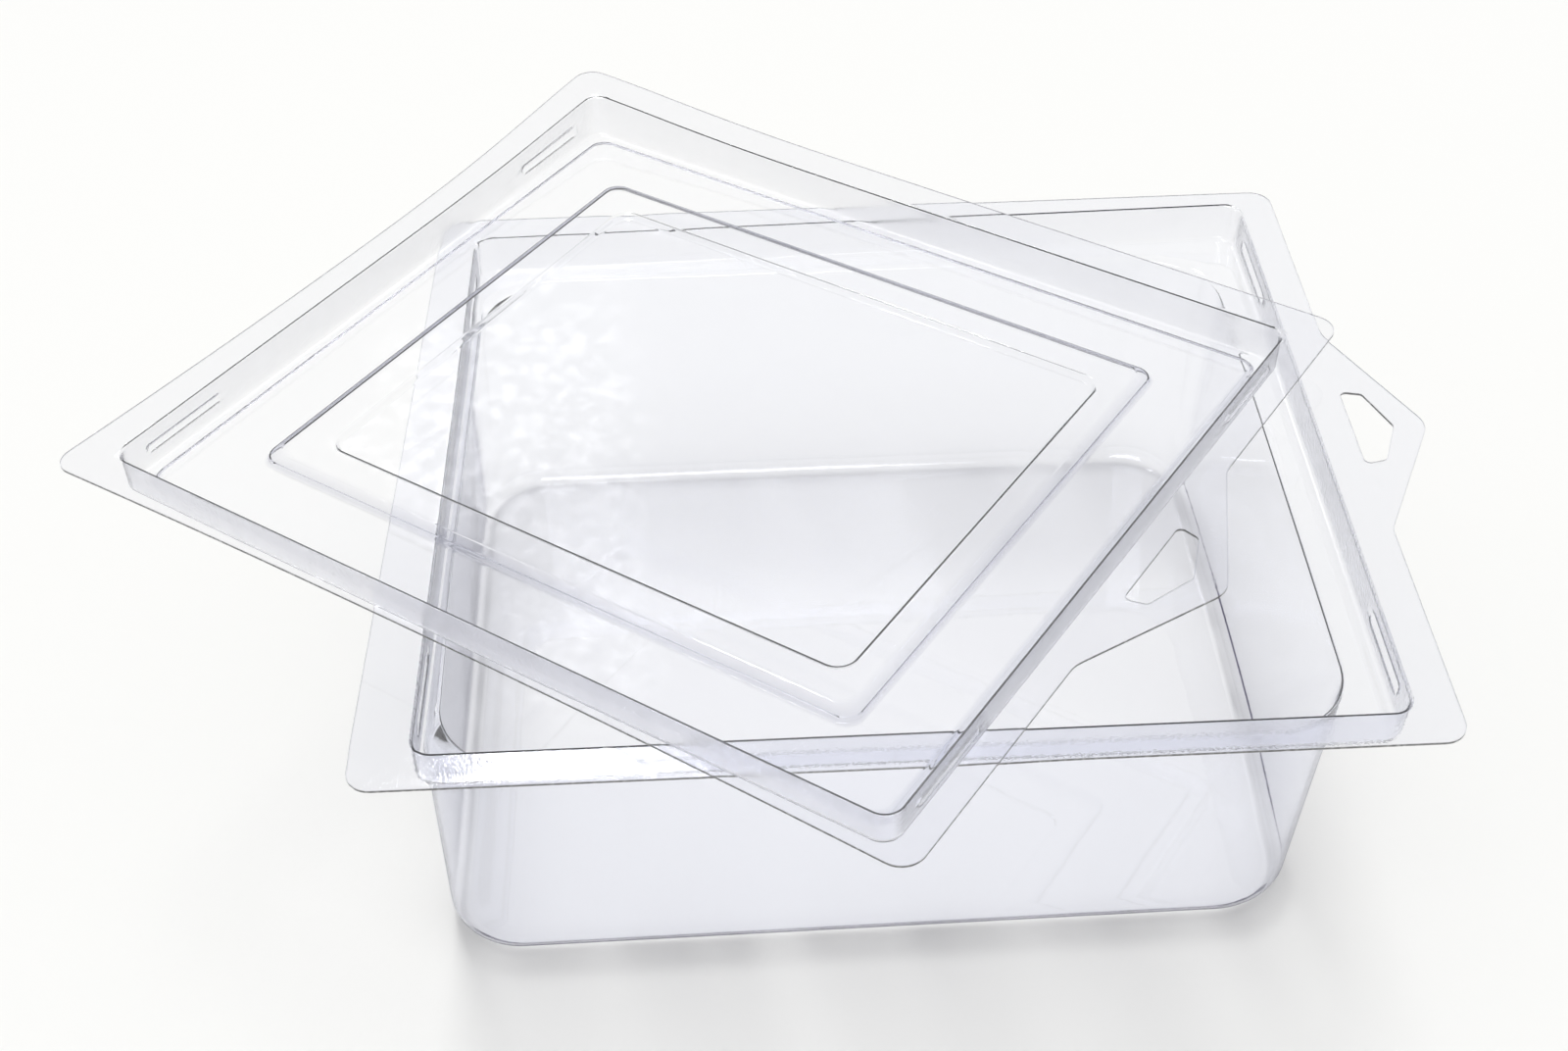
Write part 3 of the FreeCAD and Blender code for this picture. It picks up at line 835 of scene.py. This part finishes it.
class HANGBOX_OT_lid(bpy.types.Operator):
    """Build the loose plug lid, skewed on the tray"""

    bl_idname = "hangbox.lid"
    bl_label = "Build Lid"

    def execute(self, context):
        settings = context.scene.hang_box
        sheet = settings.sheet
        mesher = SheetMesher(
            sheet.flange_length / MM, sheet.flange_width / MM,
            lid_levels(0.0), rib_depth=0.8, rib_radius=1.0, rib_drop=5.5)
        plastic = settings.plastic
        finishes = (clear_plastic("lid_clear_sheet", plastic, plastic.lid_tint, 3.7),
                    cut_edge("lid_cut_edge"))
        lid = solid_sheet(
            "lid_sheet_mesh", mesher.build(), sheet.thickness, bend_lid, lid_wear_and_shade, finishes)
        place = Matrix.Translation((*sheet.lid_middle, sheet.lid_top))
        lid.data.transform(place @ Matrix.Rotation(sheet.lid_turn, 4, "Z"))
        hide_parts("lid")
        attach(lid, "lid")
        return {"FINISHED"}


# Reach of the floor from its middle and its gap under the tray, in metres.
FLOOR_REACH, FLOOR_GAP = 60.0, 0.0004
# Brightness of the room from the horizon up to overhead, and from the front to the back.
ROOM_BY_HEIGHT = ((0.0, 0.75), (0.25, 0.95), (0.6, 1.0), (0.8, 0.9), (1.0, 0.55))
ROOM_BY_DEPTH = ((0.0, 0.55), (0.3, 0.7), (0.55, 1.0), (1.0, 1.0))
KEY_DIRECTION = (0.14, -0.8, -0.96)
# Each softbox's name, place, aim, width and height in metres, and power in watts.
SOFTBOXES = (
    ("glint_softbox", (-0.166, 0.647, 1.148), (-0.08, -0.1, 0.08), 0.15, 0.13, 3.2),
    ("bend_softbox", (-0.35, -0.8, 1.3), (0.0, 0.0, 0.0), 1.1, 0.5, 9.0),
)


class HANGBOX_OT_stage(bpy.types.Operator):
    """Lay the floor, place the lights and the camera"""

    bl_idname = "hangbox.stage"
    bl_label = "Build Stage"

    def execute(self, context):
        studio = context.scene.hang_box.studio
        add_floor(studio)
        add_room_light(studio)
        add_key_light(studio)
        add_camera(studio)
        context.scene.view_settings.view_transform = "Standard"
        context.scene.cycles.transparent_max_bounces = 32
        context.scene.cycles.transmission_bounces = 24
        context.scene.cycles.max_bounces = 28
        return {"FINISHED"}


def add_floor(studio):
    """A wide plain floor just under the tray."""
    bm = bmesh.new()
    bmesh.ops.create_grid(bm, x_segments=24, y_segments=24, size=FLOOR_REACH)
    mesh = bpy.data.meshes.new("studio_floor")
    bm.to_mesh(mesh)
    bm.free()
    floor = bpy.data.objects.new("studio_floor", mesh)
    floor.location.z = -FLOOR_GAP
    bpy.context.scene.collection.objects.link(floor)
    mesh.materials.append(floor_finish(studio.floor_colour))


def add_room_light(studio):
    """Soft light from all round, and a plain backdrop where the camera looks past the floor."""
    world = bpy.data.worlds.new("studio_room")
    bpy.context.scene.world = world
    world.use_nodes = True
    tree = world.node_tree
    tree.nodes.clear()
    where = add_node(tree, "ShaderNodeTexCoord", (-900, 0))
    split = add_node(tree, "ShaderNodeSeparateXYZ", (-700, 0))
    tree.links.new(where.outputs["Generated"], split.inputs[0])
    height = grey_ramp(tree, (-450, 100), split.outputs["Z"], ROOM_BY_HEIGHT)
    depth = stretched(tree, (-450, -200), split.outputs["Y"], -1.0, 1.0)
    front = grey_ramp(tree, (-200, -200), depth, ROOM_BY_DEPTH)
    both = add_node(tree, "ShaderNodeMix", (50, 0))
    both.data_type = "RGBA"
    both.blend_type = "MULTIPLY"
    both.inputs["Factor"].default_value = 1.0
    tree.links.new(height, both.inputs["A"])
    tree.links.new(front, both.inputs["B"])
    path = add_node(tree, "ShaderNodeLightPath", (-200, 400))
    seen = worked_out(tree, (0, 400), "MAXIMUM", path.outputs["Is Camera Ray"],
                      path.outputs["Is Transmission Ray"])
    colour = mixed_colour(tree, (200, 200), seen, both.outputs["Result"], studio.backdrop)
    light = add_node(tree, "ShaderNodeBackground", (300, 0), Strength=studio.sky_strength)
    tree.links.new(colour, light.inputs["Color"])
    out = add_node(tree, "ShaderNodeOutputWorld", (500, 0))
    tree.links.new(light.outputs[0], out.inputs["Surface"])


def aimed(direction):
    """The turn that points a lamp or a camera in a direction."""
    return Vector(direction).to_track_quat("-Z", "Y")


def add_softbox(name, place, aim, width, height, watts):
    """An oblong lamp that shows in the sheet's faces and adds no light to the floor."""
    data = bpy.data.lights.new(name, "AREA")
    data.shape = "RECTANGLE"
    data.size, data.size_y = width, height
    data.energy = watts
    lamp = bpy.data.objects.new(name, data)
    lamp.location = place
    lamp.rotation_mode = "QUATERNION"
    lamp.rotation_quaternion = aimed(Vector(aim) - Vector(place))
    bpy.context.scene.collection.objects.link(lamp)
    lamp.visible_diffuse = False


def add_key_light(studio):
    """A broad soft light from the back, and two softboxes that only show as glints."""
    data = bpy.data.lights.new("key_light", "SUN")
    data.angle = math.radians(16)
    data.energy = studio.key_strength
    key = bpy.data.objects.new("key_light", data)
    key.rotation_mode = "QUATERNION"
    key.rotation_quaternion = aimed(KEY_DIRECTION)
    key.visible_glossy = False
    key.visible_transmission = False
    bpy.context.scene.collection.objects.link(key)
    for softbox in SOFTBOXES:
        add_softbox(*softbox)


def add_camera(studio):
    """The camera that looks down on the box from the front."""
    data = bpy.data.cameras.new("studio_camera")
    data.sensor_width = 36
    data.lens = studio.lens
    data.clip_start, data.clip_end = 0.01, 50
    camera = bpy.data.objects.new("studio_camera", data)
    place, aim = Vector(studio.camera_place), Vector(studio.camera_aim)
    turn = aimed(aim - place).to_matrix().to_4x4()
    camera.matrix_world = Matrix.Translation(place) @ turn @ Matrix.Rotation(
        studio.camera_roll, 4, "Z")
    bpy.context.scene.collection.objects.link(camera)
    bpy.context.scene.camera = camera


class HANGBOX_PT_panel(bpy.types.Panel):
    """Steps that build the hang box"""

    bl_idname = "HANGBOX_PT_panel"
    bl_label = "Hang Box"
    bl_space_type = "VIEW_3D"
    bl_region_type = "UI"
    bl_category = "Hang Box"

    def draw(self, context):
        layout = self.layout
        for step in STEPS:
            layout.operator(step.bl_idname)
        settings = context.scene.hang_box
        for group in (settings.sheet, settings.plastic, settings.studio):
            box = layout.box()
            for name in group.__annotations__:
                box.prop(group, name)


STEPS = (HANGBOX_OT_tray, HANGBOX_OT_lid, HANGBOX_OT_stage)
CLASSES = (SheetSettings, PlasticSettings, StudioSettings, HangBoxSettings,
           *STEPS, HANGBOX_PT_panel)


def register():
    for cls in CLASSES:
        bpy.utils.register_class(cls)
    bpy.types.Scene.hang_box = bpy.props.PointerProperty(type=HangBoxSettings)


def unregister():
    del bpy.types.Scene.hang_box
    for cls in reversed(CLASSES):
        bpy.utils.unregister_class(cls)


def main():
    register()
    bpy.ops.hangbox.tray()
    bpy.ops.hangbox.lid()
    bpy.ops.hangbox.stage()


if __name__ == "__main__":
    main()
